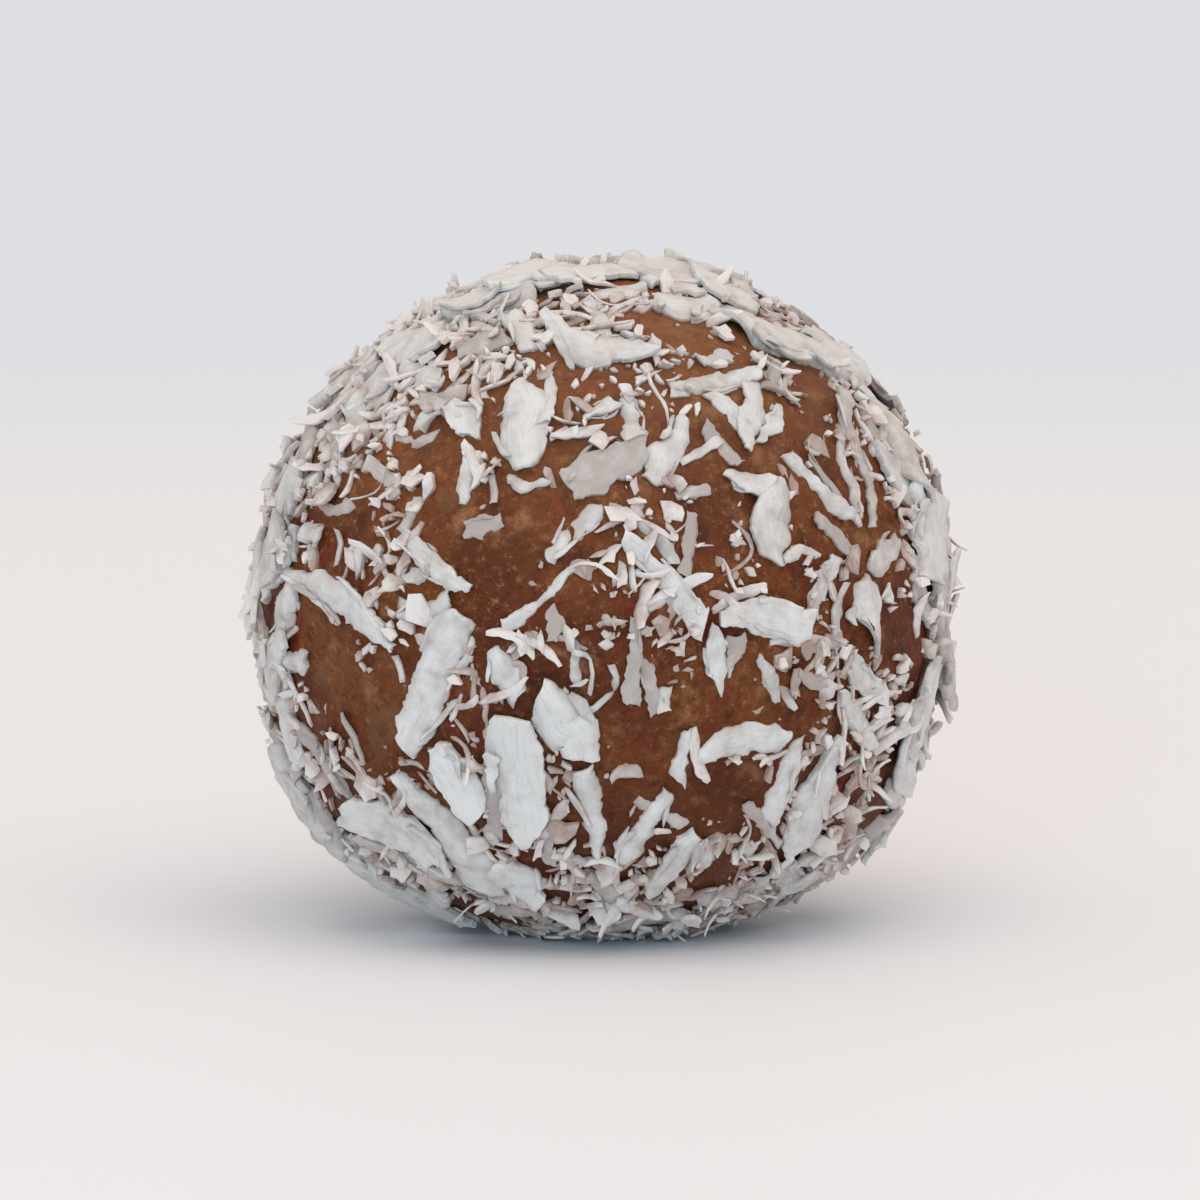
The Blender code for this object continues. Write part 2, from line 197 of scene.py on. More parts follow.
BRIGHT_FLAKES = (
    ((-7.0, 13.1, 0.6), (-5.6, 13.8, 1.6), (-4.4, 14.3, 0.9)),
    ((-5.2, 14.1, 1.0), (-3.0, 14.9, 2.4), (-1.2, 15.2, 1.2)),
    ((-3.4, 15.4, 0.8), (-1.8, 15.6, 1.5), (0.2, 15.7, 0.9)),
    ((-2.4, 14.6, 0.8), (-0.4, 15.1, 1.4), (1.8, 15.2, 0.9)),
    ((-0.8, 14.2, 0.7), (0.8, 14.4, 1.2), (2.2, 14.7, 0.7)),
    ((0.8, 15.5, 1.2), (3.0, 15.2, 2.8), (4.9, 14.7, 1.3)),
    ((4.0, 14.9, 1.0), (5.7, 14.3, 1.8), (7.4, 13.5, 0.9)),
    ((2.4, 13.9, 0.8), (3.6, 13.7, 1.9), (4.6, 13.8, 1.5), (5.4, 14.0, 0.8)),
    ((5.0, 13.3, 0.5), (6.2, 13.6, 0.9), (7.3, 13.2, 0.5)),
    ((-13.8, 3.2, 0.9), (-12.9, 2.9, 1.0)),
    ((-8.5, 8.3, 0.9), (-7.7, 8.2, 1.0)),
    ((-6.9, 9.0, 0.6), (-6.2, 8.4, 1.5), (-5.9, 7.5, 0.6)),
    ((-10.2, 11.6, 0.8), (-9.2, 11.9, 2.2), (-8.0, 11.9, 2.2), (-7.2, 12.0, 1.0)),
    ((-4.2, 13.1, 0.9), (-3.5, 12.6, 1.4), (-3.4, 11.5, 0.6)),
    ((-2.6, 12.9, 0.5), (-1.5, 12.0, 1.0), (-0.3, 11.4, 2.0), (0.6, 11.6, 1.5), (1.7, 11.3, 0.9),
     (2.8, 11.1, 0.2)),
    ((6.1, 12.6, 1.8), (7.7, 12.4, 2.6), (9.6, 11.8, 2.7), (11.4, 11.0, 2.6), (12.2, 10.6, 1.6)),
    ((-3.9, 10.0, 0.8), (-3.6, 9.0, 2.4), (-3.6, 7.7, 2.3), (-3.5, 6.6, 1.7), (-3.4, 5.9, 0.7)),
    ((-2.3, 10.7, 0.25), (-2.3, 9.6, 0.7), (-2.6, 8.0, 0.7)),
    ((-5.7, 6.9, 0.7), (-6.1, 5.9, 0.9), (-6.3, 4.4, 0.3)),
    ((-0.7, 8.3, 0.25), (0.0, 8.7, 1.0), (0.8, 9.1, 0.7)),
    ((1.3, 9.4, 0.6), (1.5, 8.2, 1.0), (1.6, 7.2, 0.9)),
    ((2.2, 5.4, 0.8), (2.8, 6.5, 1.7), (3.6, 7.4, 1.0), (3.8, 8.5, 0.5)),
    ((3.7, 6.3, 0.35), (4.7, 6.9, 0.5), (5.5, 7.4, 0.35)),
    ((3.1, 9.7, 0.8), (4.5, 9.9, 0.9), (5.9, 10.2, 0.9), (7.3, 10.4, 0.6)),
    ((5.0, 9.6, 0.7), (5.9, 8.9, 0.7), (6.7, 7.9, 0.7)),
    ((7.0, 10.3, 1.2), (7.1, 9.1, 1.0), (6.8, 8.0, 1.0), (6.8, 6.9, 0.5)),
    ((8.2, 9.1, 0.35), (8.1, 8.2, 0.8), (7.3, 7.3, 0.3)),
    ((5.7, 6.0, 0.5), (6.8, 5.4, 1.0), (8.0, 5.0, 1.0)),
    ((8.3, 1.9, 0.5), (9.3, 2.4, 0.7), (10.3, 2.1, 0.2)),
    ((-2.3, 1.8, 0.35), (-1.9, 2.6, 0.9), (-0.7, 3.7, 1.1), (0.2, 4.3, 0.4)),
    ((-4.5, -1.3, 0.8), (-3.6, -0.7, 0.6), (-2.5, 0.1, 0.35), (-1.2, 1.6, 0.4)),
    ((-9.2, 3.1, 0.7), (-8.0, 2.1, 1.0), (-6.9, 1.0, 0.9), (-5.8, 0.5, 0.35)),
    ((-14.9, 1.3, 0.3), (-13.1, 0.8, 1.1), (-11.5, -0.2, 1.4), (-10.1, -1.5, 1.0), (-9.1, -2.3, 0.2)),
    ((-5.0, -2.1, 0.5), (-4.2, -3.3, 1.5), (-3.7, -4.5, 0.7)),
    ((-6.0, -0.6, 1.0), (-6.8, -2.1, 1.9), (-7.8, -4.0, 1.8), (-8.4, -5.8, 1.6), (-8.8, -6.7, 0.9)),
    ((1.0, 2.9, 0.6), (2.3, 1.7, 0.9), (3.6, 0.3, 1.1), (4.7, -1.1, 1.0)),
    ((5.5, -1.4, 0.9), (5.4, -2.6, 1.1), (5.3, -3.9, 0.8)),
    ((5.3, -0.8, 0.6), (6.6, -0.6, 1.3), (8.0, -0.7, 1.9), (9.1, -1.2, 1.7), (9.7, -0.9, 0.7)),
    ((12.2, 1.1, 1.2), (12.5, 0.3, 2.3), (12.5, -0.6, 2.4), (12.4, -1.4, 1.8)),
    ((11.5, -2.3, 0.6), (12.1, -3.6, 1.2), (13.2, -4.6, 0.8)),
    ((11.0, -4.0, 0.35), (11.9, -5.4, 1.2), (12.5, -6.8, 0.6)),
    ((15.3, -2.6, 0.8), (14.7, -4.5, 1.3), (13.9, -6.5, 1.5), (13.0, -8.5, 1.4)),
    ((9.1, -6.3, 0.7), (8.8, -7.7, 1.0), (8.2, -9.1, 1.2), (7.7, -10.3, 0.7)),
    ((11.0, -6.1, 0.4), (10.4, -7.7, 1.2), (9.7, -9.3, 2.0), (9.3, -10.7, 2.0), (8.9, -11.5, 1.0)),
    ((4.7, -7.5, 0.6), (5.5, -6.6, 1.2), (6.8, -6.3, 1.6), (8.0, -6.3, 1.3), (8.8, -6.5, 0.7)),
    ((4.0, -5.8, 0.2), (3.8, -6.9, 0.7), (3.5, -8.2, 0.8)),
    ((3.3, -8.7, 0.7), (2.5, -9.9, 0.9), (1.4, -11.4, 1.3), (0.9, -12.0, 0.7)),
    ((4.4, -10.4, 0.4), (3.9, -11.4, 1.3), (3.0, -12.6, 1.5), (2.1, -13.6, 0.8)),
    ((6.4, -11.4, 0.9), (7.2, -11.6, 0.9)),
    ((-7.5, -6.5, 0.6), (-6.7, -7.7, 1.8), (-5.9, -9.1, 1.4), (-5.5, -9.8, 0.5)),
    ((-2.7, -3.9, 0.9), (-2.1, -5.2, 2.1), (-1.1, -6.2, 2.2), (-0.8, -7.3, 1.6)),
    ((-0.8, -7.5, 0.9), (-0.6, -8.8, 1.4), (-0.2, -10.2, 1.1), (-0.1, -11.6, 0.3)),
    ((-3.9, -4.9, 1.8), (-3.8, -6.5, 2.5), (-3.6, -8.3, 2.5), (-3.4, -9.8, 1.8), (-3.4, -11.0, 0.3)),
    ((-11.5, -9.3, 0.9), (-10.8, -9.8, 1.9), (-9.4, -10.2, 2.3), (-8.0, -11.1, 1.8), (-7.3, -11.9, 0.8)),
    ((-5.0, -12.0, 0.8), (-4.2, -12.2, 1.9), (-3.2, -13.2, 1.7), (-2.6, -13.6, 0.8)),
    ((-9.5, -7.8, 0.4), (-8.5, -8.9, 1.2), (-7.3, -10.3, 2.2), (-6.2, -11.8, 2.4), (-5.4, -13.2, 1.8)),
)
# With the range of how white each table's flakes are
FRONT_FLAKES = ((GREY_FLAKES, (0.0, 0.35)), (PLAIN_FLAKES, (0.45, 0.85)), (BRIGHT_FLAKES, (0.85, 1.0)))

# The large flakes round the sides, the back and underneath, which follow the same rule as the solid's
OTHER_FLAKE_SITES = 190
FRONT_ZONE = 66  # degrees round the line of sight, where the flakes above are
FOOT_ZONE = 24  # degrees round straight down, which stay bare where the ball rests
SITE_JITTER = 0.10
LENGTH_RANGE = (3.4, 7.6)
WIDTH_RANGE = (0.9, 2.3)
KIND_SHARES = (("slab", 0.45), ("lens", 0.30), ("strip", 0.25))
STRIP_WIDTH_SHARE = 0.55
LARGE_THICKNESS = 0.42
LARGE_CURL = 0.07
SEED = 7

# Widths at even steps along a flake of each kind, as shares of its full width
OUTLINES = {
    "slab": (0.55, 0.95, 1.0, 0.9, 0.6),
    "lens": (0.12, 0.75, 1.0, 0.8, 0.15),
    "strip": (0.7, 1.0, 0.85, 1.0, 0.6),
    "shred": (0.4, 0.9, 0.75, 1.0, 0.35),
    "thread": (0.5, 1.0, 0.9, 1.0, 0.4),
}
SLIM = 1.25  # flakes narrower than this count as strips
CLEAR_ZONE = 0.5  # large flakes that face the viewer more than this, as a cosine, stay free of finer ones
FLAT_SHARE = 0.45  # how far a flake keeps flat instead of following the ball
MOST_THICKNESS = 0.46
MOST_LIFT = 0.45  # how far a curled end may stand off
BED_DEPTH = 0.14  # a flake is pressed this far into what it lies on
MOST_UNDER = 0.7  # a flake presses into whatever is piled higher than this
WIDEST_STRETCH = 1.08  # near the limb a flake is drawn wider than it looks, up to this much
LIMB_ROLL = 0.15  # and tilts towards the viewer, up to this slope
CORNER_EASE = 0.06  # the share of its length over which a bend in a flake is rounded
FLOOR_GAP = 0.02  # the lowest that coconut comes over the floor
COVERED = 0.02  # paste counts as covered where the coat is higher than this
NUMBER_STEP = 3.7  # how far apart in the noise two flakes lie

FIELD_POINTS = 60000
GOLDEN_ANGLE = math.pi * (3 - math.sqrt(5))


def direction(azimuth, elevation):
    """The unit vector at this azimuth from +X and elevation above level, in degrees."""
    a, e = math.radians(azimuth), math.radians(elevation)
    return np.array((math.cos(e) * math.cos(a), math.cos(e) * math.sin(a), math.sin(e)))


def unit(vector):
    return vector / np.linalg.norm(vector)


def spiral(count):
    """This many directions spread evenly over a sphere, as an array, from the top down."""
    turn = np.arange(count) * GOLDEN_ANGLE
    height = 1 - 2 * (np.arange(count) + 0.5) / count
    level = np.sqrt(1 - height * height)
    return np.stack((level * np.cos(turn), level * np.sin(turn), height), axis=1)


def noise_at(points):
    """Smooth noise from about -1 to 1 at each of an array of points."""
    values = [noise.noise(Vector(point)) for point in points.reshape(-1, 3)]
    return np.array(values).reshape(points.shape[:-1])


def paste_radii(ways):
    """How far the paste's surface is from the ball's middle in each of these directions."""
    elevation = np.degrees(np.arcsin(np.clip(ways[:, 2], -1, 1)))
    radii = PASTE_RADIUS + SLUMP_RISE * np.exp(-(((elevation - SLUMP_ELEVATION) / SLUMP_SPREAD) ** 2))
    radii += UNEVENNESS * noise_at(ways * UNEVENNESS_SCALE)
    for azimuth, height, rise, spread in LUMPS:
        away = np.degrees(np.arccos(np.clip(ways @ direction(azimuth, height), -1, 1)))
        radii += rise * np.exp(-((away / spread) ** 2))
    return radii


# The line of sight of the front view
TO_VIEWER = direction(270, VIEW_ELEVATION)
VIEW_RIGHT = np.array((1.0, 0.0, 0.0))
VIEW_UP = np.cross(TO_VIEWER, VIEW_RIGHT)


def seen_at(right, up):
    """The direction of the spot that the front view shows this far right of and above the ball's middle."""
    out = math.hypot(right, up)
    most = 0.995 * COAT_RADIUS
    if out > most:
        right, up, out = right * most / out, up * most / out, most
    depth = math.sqrt(COAT_RADIUS**2 - out**2)
    return unit(right * VIEW_RIGHT + up * VIEW_UP + depth * TO_VIEWER)


@dataclass
class Flake:
    """A piece of coconut: its outline laid out flat, where it lies, how it bends and what is under it."""

    middle: np.ndarray  # the direction of its middle
    along: np.ndarray  # the way that it points
    line: np.ndarray  # places on its middle line: mm along, mm across and full width
    thickness: float
    whiteness: float
    number: float  # sets its noise apart from that of the others
    corners: np.ndarray = None  # a scrap's outline instead: mm along and across
    ragged: float = 0.17  # how far a torn edge strays
    crumple: float = 0.17
    lift: tuple = (0.0, 0.0)  # how far each end stands off its bed
    cup: float = 0.0  # how far the long edges stand over the middle
    roll: float = 0.0  # rise of one long edge over the other, for each mm between them
    skew: tuple = (0.0, 0.0)  # how obliquely each end is cut
    under: tuple = (0.0, 0.0)  # the heights of what lies under its two ends
    across: np.ndarray = field(init=False)

    def __post_init__(self):
        self.along = unit(self.along - self.middle * float(self.along @ self.middle))
        self.across = np.cross(self.middle, self.along)
        steps = np.hypot(*np.diff(self.line[:, :2], axis=0).T)
        self.length = float(steps.sum())
        self.width = float(self.line[:, 2].max())
        self.marks = np.concatenate(((0,), np.cumsum(steps))) / self.length

    def at(self, share):
        """How far along and across the flake these shares of its middle line lie, and its widths there."""
        eased = [np.clip(share + shift, 0, 1) for shift in (-CORNER_EASE, 0, CORNER_EASE)]
        along = sum(np.interp(part, self.marks, self.line[:, 0]) for part in eased) / 3
        across = sum(np.interp(part, self.marks, self.line[:, 1]) for part in eased) / 3
        return along, across, np.interp(share, self.marks, self.line[:, 2])

    def bed(self, share):
        """The height of the flake's underside over the paste at shares of its length."""
        base = self.under[0] * (1 - share) + self.under[1] * share
        start, end = np.maximum(1 - 2 * share, 0), np.maximum(2 * share - 1, 0)
        return base + self.lift[0] * start**2 + self.lift[1] * end**2 - BED_DEPTH


def ways_from(flake, along, across):
    """The directions of spots this far along and across a flake, measured over the ball."""
    step = (along[..., None] * flake.along + across[..., None] * flake.across) / PASTE_RADIUS
    angle = np.linalg.norm(step, axis=-1, keepdims=True)
    return np.cos(angle) * flake.middle + np.sinc(angle / math.pi) * step


def laid_out(middle, along, way):
    """How far along and across from a middle a direction lies, measured over the ball."""
    along = unit(along - middle * float(along @ middle))
    side = way - middle * float(way @ middle)
    reach = math.atan2(float(np.linalg.norm(side)), float(way @ middle)) * PASTE_RADIUS
    side = side / max(float(np.linalg.norm(side)), 1e-9) * reach
    return float(side @ along), float(side @ np.cross(middle, along))


class Coat:
    """How high the coconut stands over the paste, kept at points spread evenly over the ball."""

    def __init__(self, bare):
        self.ways = spiral(FIELD_POINTS)
        self.heights = np.zeros(FIELD_POINTS)
        self.tree = kdtree.KDTree(FIELD_POINTS)
        for index, way in enumerate(self.ways):
            self.tree.insert(way, index)
        self.tree.balance()
        self.kept = np.zeros(FIELD_POINTS, bool)  # under a large flake that nothing finer lies on
        self.bare = np.zeros(FIELD_POINTS, bool)
        for middle, radius in bare:
            edge = radius / PASTE_RADIUS * (1 + 0.35 * noise_at(self.ways * 6))
            self.bare |= np.arccos(np.clip(self.ways @ middle, -1, 1)) < edge

    def footprint(self, flake):
        """The points that a flake covers, and each one's share of the way along it."""
        reach = (np.hypot(flake.line[:, 0], flake.line[:, 1]).max() + flake.width / 2) / PASTE_RADIUS
        near = np.array([index for _, index, _ in self.tree.find_range(Vector(flake.middle), reach)], int)
        if not len(near):
            return near, np.zeros(0)
        spots = self.ways[near] * PASTE_RADIUS
        share = np.linspace(0.06, 0.94, max(3, min(24, round(2 * flake.length / flake.width))))
        along, across, width = flake.at(share)
        forth, aside = (spots @ flake.along)[:, None], (spots @ flake.across)[:, None]
        away = np.hypot(forth - along, aside - across) - width / 2
        nearest = away.argmin(axis=1)
        inside = away.min(axis=1) <= 0
        return near[inside], share[nearest[inside]]

    def covered(self, points):
        """The share of these points that coconut covers."""
        return float((self.heights[points] > COVERED).mean())

    def lay(self, flake):
        """Rests a flake on what lies under its two ends."""
        points, share = self.footprint(flake)
        if not len(points):
            return
        ends = self.heights[points[share < 0.4]], self.heights[points[share > 0.6]]
        under = [float(np.percentile(end, 60)) if len(end) else 0.0 for end in ends]
        flake.under = tuple(min(height, MOST_UNDER) for height in under)
        self.heights[points] = np.maximum(self.heights[points], flake.bed(share) + flake.thickness)


def front_flakes(draw):
    """The flakes of the front view, through the places given for them."""
    made = []
    for outlines, whiteness in FRONT_FLAKES:
        for outline in outlines:
            ways = [seen_at(right, up) for right, up, _ in outline]
            middle, heading = unit(ways[0] + ways[-1]), ways[-1] - ways[0]
            spots = [(*laid_out(middle, heading, way), spot[2]) for way, spot in zip(ways, outline)]
            line = roughened(np.array(spots), draw)
            thickness = min((0.16 + 0.13 * line[:, 2].max()) * draw.uniform(0.85, 1.15), MOST_THICKNESS)
            flake = Flake(middle, heading, line, thickness, draw.uniform(*whiteness), len(made))
            made.append(turned_to_viewer(bend(flake, draw)))
    return splinters(made, draw)


def turned_to_viewer(flake):
    """The same flake, wider and tilted up near the limb, where the front view sees it from the side."""
    slant = float(flake.across @ TO_VIEWER)
    flake.line[:, 2] *= min(1 / math.sqrt(1 - slant**2), WIDEST_STRETCH)
    flake.width = float(flake.line[:, 2].max())
    flake.roll -= LIMB_ROLL * slant * abs(slant)
    return flake


def splinters(flakes, draw):
    """The same flakes, and after each wide one the slivers that have split off along its edges."""
    made = []
    for flake in flakes:
        made.append(flake)
        for _ in range(draw.integers(0, 4) if flake.width > 0.85 else 0):
            start = draw.uniform(0, 0.55)
            along, across, width = flake.at(np.linspace(start, start + draw.uniform(0.28, 0.5), 4))
            side = draw.choice((-1, 1)) * draw.uniform(0.36, 0.60)
            stray = draw.normal(0, 0.12) * flake.width * np.linspace(-1, 1, 4)
            slim = draw.uniform(0.14, 0.30) * flake.width * np.array((0.5, 1.0, 0.8, 0.3))
            line = roughened(np.stack((along, across + side * width + stray, slim), axis=1), draw)
            whiteness = flake.whiteness * draw.uniform(0.6, 1.1)
            thickness, number = 0.55 * flake.thickness, flake.number + len(made)
            made.append(bend(Flake(flake.middle, flake.along, line, thickness, whiteness, number), draw))
    return made


def other_flakes(layout, draw):
    """The large flakes outside the front zone, one at each site of an even spiral that is free."""
    made = []
    kinds, shares = zip(*KIND_SHARES)
    for site in spiral(OTHER_FLAKE_SITES):
        middle = unit(site + layout.normal(0, SITE_JITTER, 3))
        heading = layout.normal(0, 1, 3)
        kind = kinds[layout.choice(len(kinds), p=shares)]
        length = layout.uniform(*LENGTH_RANGE)
        width = layout.uniform(*WIDTH_RANGE) * (STRIP_WIDTH_SHARE if kind == "strip" else 1)
        if middle @ TO_VIEWER > math.cos(math.radians(FRONT_ZONE)):
            continue
        if -middle[2] > math.cos(math.radians(FOOT_ZONE)):
            continue
        line = middle_line(kind, length, width, LARGE_CURL, draw)
        flake = Flake(middle, heading, line, LARGE_THICKNESS, draw.beta(3.2, 1.2), 500 + len(made))
        made.append(bend(flake, draw))
    return splinters(made, draw)


def roughened(line, draw):
    """A middle line with twice the places on it, shifted a little, and with uneven widths."""
    fine = np.linspace(0, len(line) - 1, 2 * len(line) - 1)
    line = np.stack([np.interp(fine, np.arange(len(line)), column) for column in line.T], axis=1)
    line[1:-1, 1] += draw.normal(0, 0.05, len(line) - 2) * line[1:-1, 2]
    line[:, 2] *= draw.uniform(0.86, 1.12, len(line))
    return line


def middle_line(kind, length, width, curl, draw):
    """A random flake's middle line, bent to a bow or a hook, with the widths of its kind."""
    widths = width * np.array(OUTLINES[kind])
    u = np.linspace(-1, 1, len(widths))
    bow = draw.normal(0, curl) * (1 - u * u) + draw.normal(0, curl / 2) * u**3
    return roughened(np.stack((u * length / 2, bow * length, widths), axis=1), draw)


def bend(flake, draw):
    """Gives a flake its own curl and tilt, and obliquely cut ends."""
    falls_away = (flake.length / 2) ** 2 / (2 * PASTE_RADIUS)
    curled = np.minimum(draw.gamma(1.1, 0.16, 2), MOST_LIFT)
    flake.lift = tuple(curled + FLAT_SHARE * falls_away * draw.uniform(0.3, 1.3, 2))
    flake.cup = draw.normal(-0.02, 0.08) * flake.width
    flake.roll = draw.normal(0, 0.10)
    flake.skew = tuple(draw.normal(0, 0.45, 2))
    return flake


@dataclass
class Rule:
    """How one kind of finer coconut falls and sticks."""

    tries: int
    length: tuple
    slimness: tuple  # width for each mm of length
    thickness: tuple
    overlap: float  # how much of what lies below may be coconut already
    tilt: float  # how steeply a piece may stand
    whiteness: tuple
    curl: float = None  # of the long kinds; the others are scraps with a torn outline


SCATTER = {
    "shred": Rule(3600, (1.0, 3.8), (0.12, 0.30), (0.16, 0.28), 0.60, 0.34, (0.4, 1.1), 0.12),
    "scrap": Rule(12000, (0.50, 2.3), (0.22, 0.75), (0.12, 0.28), 0.72, 0.40, (0.25, 1.1)),
    "thread": Rule(1100, (1.0, 4.2), (0.05, 0.10), (0.09, 0.15), 0.80, 0.40, (0.3, 0.9), 0.26),
    "crumb": Rule(16000, (0.25, 0.90), (0.35, 0.95), (0.12, 0.30), 0.95, 0.50, (0.35, 1.15)),
    "dust": Rule(9000, (0.14, 0.55), (0.45, 1.0), (0.07, 0.16), 0.40, 0.30, (0.2, 0.9)),
}
TOP_PAINTED_WHITER = 0.30  # painted light: the fine coconut is made whiter towards the top
WIDEST_SHRED = 0.62
FINE_FOOT_ZONE = 16  # degrees round straight down without fine coconut
DUST_ON_BARE = 0.08  # the share of the dust that sticks in the bare patches too
OPEN_SHARE = 0.33  # how much of the fine coconut sticks to open paste
THICKER_SHARE = 0.40  # and how much more of it at the top and low down

# Where the front's fine coconut lies thicker or thinner: mm right of and above the ball's middle, the change
# in the share that sticks, and the spread in mm
FRONT_DRIFTS = (
    (-11.0, 9.5, 0.40, 4.0),
    (-6.5, 10.0, 0.10, 3.5),
    (-12.5, 5.0, -0.40, 3.5),
    (-13.5, -4.5, -0.40, 3.0),
    (-8.5, 2.5, -0.15, 3.5),
    (-2.5, 1.0, -0.30, 4.0),
    (0.5, 9.5, -0.25, 4.0),
    (6.5, 0.5, -0.30, 4.0),
    (3.5, 1.5, -0.20, 4.5),
    (4.0, 8.0, -0.30, 4.5),
    (9.5, 6.0, -0.25, 3.5),
    (13.5, 4.5, -0.45, 4.0),
    (10.5, 9.5, -0.30, 3.0),
    (5.0, 12.0, -0.30, 3.0),
    (0.0, 15.5, 0.30, 3.0),
    (13.0, -1.0, -0.20, 3.0),
    (12.0, -7.0, 0.30, 3.5),
    (6.0, -6.5, -0.30, 3.5),
    (-9.0, -4.5, -0.35, 3.5),
    (-3.0, -5.0, -0.15, 3.0),
    (0.0, -13.0, 0.30, 4.5),
    (-10.5, -9.5, 0.50, 3.5),
    (9.5, -11.5, 0.05, 4.0),
)


def openness(way):
    """The share of the fine coconut that sticks here: more in drifts, at the top and low down."""
    elevation = math.degrees(math.asin(max(-1.0, min(1.0, way[2]))))
    low = 1 / (1 + math.exp((elevation + 34) / 5))
    high = 1 / (1 + math.exp((48 - elevation) / 6))
    drift = 0.8 * noise.noise(Vector(way * 3.1)) + 0.7 * noise.noise(Vector(way * 7.3))
    share = OPEN_SHARE + drift + THICKER_SHARE * max(low, high)
    for right, up, change, spread in FRONT_DRIFTS:
        away = np.linalg.norm(way - seen_at(right, up)) * PASTE_RADIUS
        share += change * math.exp(-((away / spread) ** 2))
    return share


def torn_corners(length, width, draw):
    """The outline of a scrap: a few corners at uneven distances round its middle."""
    count = int(draw.integers(6, 11)) if length > 0.7 else int(draw.integers(4, 7))
    turns = (np.arange(count) + draw.uniform(-0.32, 0.32, count)) / count * 2 * math.pi
    reach = draw.uniform(0.42, 1.15, count)
    return np.stack((np.cos(turns) * length / 2, np.sin(turns) * width / 2), axis=1) * reach[:, None]


def fine_flake(kind, number, draw):
    """A fine piece at a random place on the ball."""
    rule = SCATTER[kind]
    middle, heading = unit(draw.normal(0, 1, 3)), draw.normal(0, 1, 3)
    length = rule.length[0] + (rule.length[1] - rule.length[0]) * draw.beta(1.3, 2.2)
    width = length * draw.uniform(*rule.slimness)
    if rule.curl:
        line, corners = middle_line(kind, length, min(width, WIDEST_SHRED), rule.curl, draw), None
    else:
        line = np.array(((-0.3 * length, 0, width), (0.3 * length, 0, width)))
        corners = torn_corners(length, width, draw)
    thickness = draw.uniform(*rule.thickness)
    # painted light, whiter the higher a piece lies on the ball
    whiteness = draw.uniform(*rule.whiteness) + TOP_PAINTED_WHITER * max(middle[2], 0.0)
    flake = Flake(middle, heading, line, thickness, whiteness, 1000 + number, corners)
    flake.ragged, flake.crumple = 0.07, 0.09
    flake.lift = (0.0, abs(draw.normal(0, rule.tilt)) * length / 2)
    flake.roll = draw.normal(0, rule.tilt)
    flake.skew = tuple(draw.normal(0, 0.4, 2))
    return flake


def sticks(flake, kind, coat, chance):
    """Whether a fine piece stays where it falls: on open paste, off the large flakes and the bare patches."""
    if -flake.middle[2] > math.cos(math.radians(FINE_FOOT_ZONE)) or chance > openness(flake.middle):
        return False
    points, _ = coat.footprint(flake)
    if not len(points) or coat.covered(points) > SCATTER[kind].overlap or coat.kept[points].mean() > 0.3:
        return False
    return coat.bare[points].mean() <= 0.15 or (kind == "dust" and chance <= DUST_ON_BARE)


def scatter(kind, coat, draw):
    """Fine pieces that fall at random and stick where the paste is still open."""
    made = []
    for number in range(SCATTER[kind].tries):
        flake, chance = fine_flake(kind, number, draw), draw.random()
        if sticks(flake, kind, coat, chance):
            coat.lay(flake)
            made.append(flake)
    return made


# Rows of mesh along a flake, in mm, and where its columns lie across it, as shares of its half width
ROW_LENGTH = 0.17
FEWEST_ROWS = 5
MOST_ROWS = 46
WIDE_COLUMNS = (-1, -0.88, -0.5, 0, 0.5, 0.88, 1)
SLIM_COLUMNS = (-1, -0.55, 0.55, 1)
EDGE_THINNING = 0.45
FIBRE_GAP = 0.22


def grid_faces(along, across):
    """The quads of a closed slab of this many cells: its upper face, its lower face and its rim."""
    row, layer = across + 1, (along + 1) * (across + 1)
    i, j = np.meshgrid(np.arange(along), np.arange(across), indexing="ij")
    corner = (i * row + j).ravel()
    upper = np.stack((corner, corner + row, corner + row + 1, corner + 1), axis=1)
    lower = upper[:, ::-1] + layer
    left = [(n * row, (n + 1) * row) for n in range(along)]
    right = [((n + 1) * row + across, n * row + across) for n in range(along)]
    start = [(n + 1, n) for n in range(across)]
    end = [(along * row + n, along * row + n + 1) for n in range(across)]
    rim = np.array([(b, a, a + layer, b + layer) for a, b in left + right + start + end])
    return np.concatenate((upper, lower, rim)).tolist()


def torn(flake, places, side):
    """A ragged line: noise along one edge of a flake, coarse and fine."""
    spots = np.stack(
        (places, np.full_like(places, side), np.full_like(places, flake.number * NUMBER_STEP)), axis=1
    )
    return noise_at(spots * (1.7, 1, 1)) + 0.7 * noise_at(spots * (4.6, 1, 1) + 50)


def laid_flat(flake, share, v):
    """How far along and across a flake its mesh points lie, and their places in the flake, for its noise."""
    along, across, width = flake.at(share)
    forth = np.stack((np.gradient(along), np.gradient(across)), axis=1)
    forth /= np.linalg.norm(forth, axis=1, keepdims=True)

    run = share * flake.length
    tear = min(flake.ragged, 0.25 * flake.width)
    left = width / 2 + tear * torn(flake, run, 1.0)
    right = width / 2 + tear * torn(flake, run, 5.0)
    side = np.where(v < 0, left[:, None] * v, right[:, None] * v)
    cuts = [flake.skew[end] * width[end] / 2 * v for end in (0, -1)]
    tips = [cut + tear * torn(flake, side[end], 9.0 + end) for cut, end in zip(cuts, (0, -1))]
    near_tip = np.abs(2 * share - 1)[:, None] ** 6
    pull = near_tip * np.where(share[:, None] < 0.5, tips[0], tips[1])
    along = along[:, None] + forth[:, :1] * pull - forth[:, 1:] * side
    across = across[:, None] + forth[:, 1:] * pull + forth[:, :1] * side
    place = np.stack((run[:, None] + pull, side, np.full_like(side, flake.number * NUMBER_STEP)), axis=-1)
    return along, across, place


